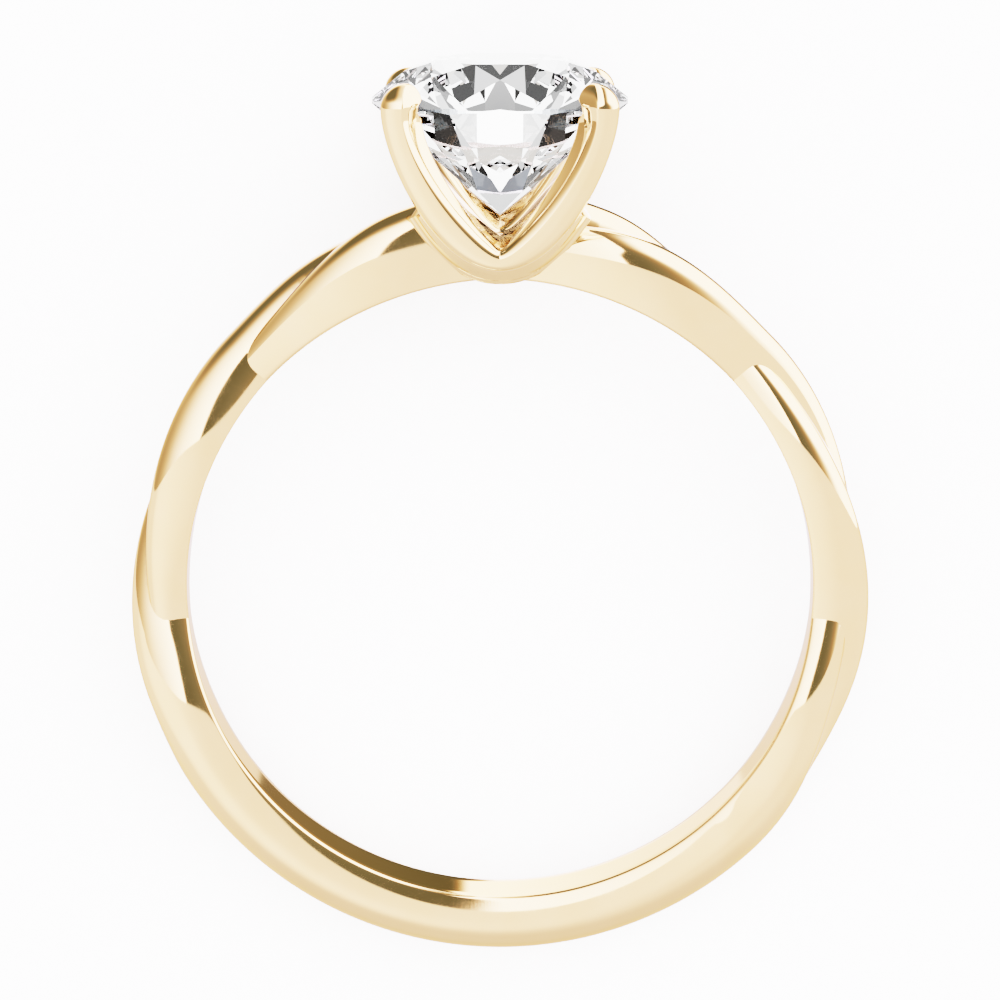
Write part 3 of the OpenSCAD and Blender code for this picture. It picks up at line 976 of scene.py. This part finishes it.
# %% The gap and the shade
# A fade is the pair of numbers from which and to which a soft step rises
GAP_LEFT_FADE, GAP_LEAN, GAP_LEAN_FADE = (0.0, 0.035), 0.08, (0.1, 0.4)
GAP_RIGHT_FADE, GAP_NARROWS, GAP_NARROWS_FADE = (0.05, 0.85), 0.5, (0.1, 0.6)
GAP_END_HIGH_FADE, GAP_END_BACK_FADE = (0.5, 0.6), (0.58, 0.68)
SHADE_GROWTH, SHADE_HIGH_FADE, SHADE_LEFT_FADE = 0.66, (0.42, 0.95), (-0.08, 0.2)


def overhead_gap():
    """1 in the dark gap that runs over the ring: a sharp left edge that leans a little, and a
    soft right one that comes nearer the higher the ray goes. High up at the back it ends."""
    opens = (right - GAP_LEAN * above.step(*GAP_LEAN_FADE)).step(*GAP_LEFT_FADE)
    nearer = GAP_NARROWS * above.step(*GAP_NARROWS_FADE)
    closes = right.step(GAP_RIGHT_FADE[0], GAP_RIGHT_FADE[1] - nearer)
    ends = above.step(*GAP_END_HIGH_FADE) * back.step(*GAP_END_BACK_FADE)
    return opens * (1 - closes) * (1 - ends)


def left_shade():
    """The left side's darkness: it grows with the distance to the left, and with the height."""
    high = above.step(*SHADE_HIGH_FADE) * left.step(*SHADE_LEFT_FADE)
    return ray.math("MINIMUM", greatest(SHADE_GROWTH * left, 0.0) + high, 1.0)


dark = greatest(overhead_gap(), left_shade())
print("nodes in the room", len(room.nodes))

# %% [markdown]
# Below the edge lies a cream ground, brightest low on the left in front. Light falls off by
# ratios, so the paper's light is the white one times the smallest share raised to the power of
# the darkness. The paper is warmer in the shade, and where it is darkest it is cool again.

# %% The light on the gold
WHITE_LIGHT, CREAM_LIGHT, GAP_LIGHT = 6.0, 2.1, 0.17
GLOW_AXIS, GLOW_FADE, GLOW_MORE = (-0.50, -0.83, -0.25), (0.75, 1.0), 0.45
DEEP_FADE, DEEP_LESS = (0.45, 0.95), 0.35
EDGE_FADE = (-0.006, 0.006)
CREAM_TINT = (1.0, 0.89, 0.98, 1)
WHITE_TINT, SHADE_TINT = (1.04, 0.96, 1.16, 1), (1.0, 0.78, 0.68, 1)
GAP_TINT = (1.0, 1.13, 1.13, 1)
SHADE_TINT_FADE, GAP_TINT_FADE = (0.1, 0.6), (0.7, 1.0)  # over the paper's darkness

paper = WHITE_LIGHT * ray.math("POWER", GAP_LIGHT / WHITE_LIGHT, dark)
glow = towards(GLOW_AXIS).step(*GLOW_FADE)
ground = CREAM_LIGHT * (1 + GLOW_MORE * glow) * (1 - DEEP_LESS * below.step(*DEEP_FADE))
over_edge = above.step(*EDGE_FADE)
level = ground + (paper - ground) * over_edge
paper_tint = ray.mix(dark.step(*SHADE_TINT_FADE), WHITE_TINT, SHADE_TINT)
paper_tint = ray.mix(dark.step(*GAP_TINT_FADE), paper_tint, GAP_TINT)
tint = ray.mix(over_edge, CREAM_TINT, paper_tint)
gold_sees = ray.node("ShaderNodeVectorMath", {"operation": "SCALE"}, {0: tint, "Scale": level})
print("light on the gold from", GAP_LIGHT, "to", WHITE_LIGHT)

# %% [markdown]
# ## The room that the stone sees
# A brilliant sends what it takes in out again in a few dozen directions, and in an even room
# it would be plain grey. So the stone is lit on its own, by small things near it: a white card
# behind it with a black flag on either side, a grey cloth low at the back, the dark bench in
# front and two posts. Each is a block of directions with soft edges. Diamond bends blue more
# than red, so the edges lie a little further out for green and blue, and that gives some
# facets a thin coloured rim.

# %% The things round the stone
# Along an axis a thing lies in a span, between two numbers, or sets in over a fade
FLAG_SIDE_SPAN, FLAG_HIGH_SPAN, FLAG_BACK_FADE = (0.24, 0.60), (-0.33, 0.07), (0.45, 0.6)
CLOTH_HIGH_SPAN, CLOTH_SIDE_FADE, CLOTH_BACK_FADE = (-0.75, -0.1), (0.16, 0.22), (0.3, 0.45)
CLOTH_GREY, CLOTH_MORE, FAR_SIDE_FADE, FAR_BACK_FADE = 0.6, 0.25, (0.25, 0.32), (0.6, 0.7)
BENCH_HIGH_FADE, BENCH_FRONT_FADE = (0.36, 0.5), (0.08, 0.2)
BENCH_GREY, BENCH_MORE, FAR_FRONT_FADE = 0.5, 0.3, (0.35, 0.42)
POST_SIDE_SPAN, POST_HIGH_SPAN, POST_FRONT_FADE = (0.28, 0.46), (0.1, 0.33), (0.28, 0.36)
CARD_HIGH_SPAN, CARD_SIDE_FADE, CARD_BACK_FADE = (-0.35, 0.25), (0.15, 0.19), (0.55, 0.7)
SOFT, SOFTER = 0.06, 0.1          # the width of the soft edge at each end of a span


def moved_out(edges, out):
    """Both numbers of a span or a fade, moved out."""
    return edges[0] + out, edges[1] + out


def between(value, span, soft=SOFT):
    """1 while value lies in the span, with a soft edge at each end."""
    return value.step(span[0], span[0] + soft) * (1 - value.step(span[1], span[1] + soft))


def flags(out):
    """Black, to both sides of the card and level with the girdle."""
    return (between(side, moved_out(FLAG_SIDE_SPAN, out)) * back.step(*FLAG_BACK_FADE)
            * between(above, moved_out(FLAG_HIGH_SPAN, out), SOFTER))


def cloth(out):
    """Grey, low at the back with an opening in the middle, and darker further out."""
    darker = CLOTH_MORE * side.step(*FAR_SIDE_FADE) * back.step(*FAR_BACK_FADE)
    return (between(above, CLOTH_HIGH_SPAN, SOFTER) * side.step(*moved_out(CLOTH_SIDE_FADE, out))
            * back.step(*CLOTH_BACK_FADE) * (CLOTH_GREY + darker))


def bench():
    """Grey, high in front, and darker further to the front."""
    return (above.step(*BENCH_HIGH_FADE) * front.step(*BENCH_FRONT_FADE)
            * (BENCH_GREY + BENCH_MORE * front.step(*FAR_FRONT_FADE)))


def posts(out):
    """Black, in front to both sides, a little over the girdle."""
    return (between(side, moved_out(POST_SIDE_SPAN, out)) * between(above, POST_HIGH_SPAN)
            * front.step(*POST_FRONT_FADE))


def card(out):
    """White, straight behind the stone."""
    return ((1 - side.step(*moved_out(CARD_SIDE_FADE, out))) * back.step(*CARD_BACK_FADE)
            * between(above, CARD_HIGH_SPAN))


print("round the stone:", *(thing.__name__ for thing in (flags, cloth, bench, posts, card)))

# %% [markdown]
# Red, green and blue each find the same room with its edges a little further out, and their
# three numbers together are the colour that the stone sees. Light from below is warmer.

# %% The light on the stone
CARD_LIGHT, LEAST_SHARE = 6.5, 0.005
WALL_GREY, WALL_LESS, WALL_SIDE_FADE = 0.33, 0.25, (0.4, 0.55)
GREEN_OUT, BLUE_OUT = 0.004, 0.008
NEUTRAL, WARM, WARM_FADE = (1.0, 1.0, 1.0, 1), (1.0, 0.93, 0.85, 1), (0.55, 0.8)


def stone_light(out):
    """The stone's light for one colour, whose edges lie further out. Each thing has a darkness,
    as the pale grey room has, and the greatest of them counts."""
    walls = (WALL_GREY - WALL_LESS * side.step(*WALL_SIDE_FADE)) * (1 - card(out))
    darkest = greatest(walls, flags(out), cloth(out), bench(), posts(out))
    return CARD_LIGHT * ray.math("POWER", LEAST_SHARE, darkest)


colours = ray.node("ShaderNodeCombineXYZ", {}, {
    0: stone_light(0.0), 1: stone_light(GREEN_OUT), 2: stone_light(BLUE_OUT)})
stone_sees = ray.vector("MULTIPLY", colours, ray.mix(below.step(*WARM_FADE), NEUTRAL, WARM))
print("nodes in the room", len(room.nodes))

# %% [markdown]
# ## Which ray finds which room
# A ray knows what it met last. One that comes straight from the camera finds plain pale paper,
# one that went through a facet finds the stone's room, and one that gold mirrored finds the
# gold's. What a facet mirrors on its outside from below is the glare that the filter takes
# away. A wide soft lamp overhead lights the matt table alone.

# %% The world, and the table's lamp
BEHIND = (9.0, 9.0, 9.0, 1)
GLARE_LEFT, GLARE_FADE = (0.05, 0.05, 0.05, 1), (-0.05, 0.05)
LAMP_STRENGTH, LAMP_ANGLE = 18.0, 2.4     # the angle in radians
through, off_facet = ray.ray_is(IS_THROUGH), ray.ray_is(IS_SHARP)
glare = off_facet * (1 - through) * (1 - above.step(*GLARE_FADE))
stone_sees = ray.mix(glare, stone_sees, GLARE_LEFT)
mirrored = ray.mix(greatest(through, off_facet), gold_sees, stone_sees)
seen = ray.mix(ray.ray_is(IS_CAMERA), mirrored, BEHIND)
room.links.new(seen.socket, room.nodes["Background"].inputs["Color"])

lamp = bpy.data.lights.new("overhead_lamp", "SUN")
lamp.energy, lamp.angle = LAMP_STRENGTH, LAMP_ANGLE
overhead_lamp = bpy.data.objects.new("overhead_lamp", lamp)
bpy.context.scene.collection.objects.link(overhead_lamp)
overhead_lamp.visible_glossy = overhead_lamp.visible_transmission = False
print("nodes in the room", len(room.nodes))

# %% [markdown]
# ## The camera
# The camera looks at the ring as it would at a standing one, from a little above the stone's
# girdle and a long way off, so its lens is long. Its place is worked out in the standing
# ring's frame and laid down with it, and that puts it above the table.

# %% The camera
LENS, SENSOR = 173.365, 36        # millimetres
EYE, PITCH = (0, -125, 24.926), 0.179     # where it stands, and how far it looks down in radians
camera = bpy.data.cameras.new("camera")
camera.lens, camera.sensor_width = LENS, SENSOR
camera.clip_start, camera.clip_end = 0.01, 20
eye = bpy.data.objects.new("camera", camera)
bpy.context.scene.collection.objects.link(eye)
bpy.context.scene.camera = eye
forward = TURN @ [0, np.cos(PITCH), -np.sin(PITCH)]
upwards = TURN @ [0, np.sin(PITCH), np.cos(PITCH)]
rightwards = np.cross(forward, upwards)
eye.matrix_world = Matrix(np.vstack([
    np.column_stack([rightwards, upwards, -forward, lay_down(EYE)]), [0, 0, 0, 1]]).tolist())
print("camera at", lay_down(EYE).round(4))

# %% [markdown]
# ## Tones and bounces
# Filmic keeps detail in the bright metal, and its high contrast look gives back the depth of
# the dark patches. Inside a brilliant light is mirrored many times before it leaves, so more
# bounces are allowed than an ordinary scene needs.

# %% Tones and bounces
scene = bpy.context.scene
scene.view_settings.view_transform = "Filmic"
scene.view_settings.look = "High Contrast"
scene.view_settings.exposure = 0.0
scene.cycles.max_bounces = 24
scene.cycles.transmission_bounces = 24
scene.cycles.glossy_bounces = 12
print("look", scene.view_settings.look)
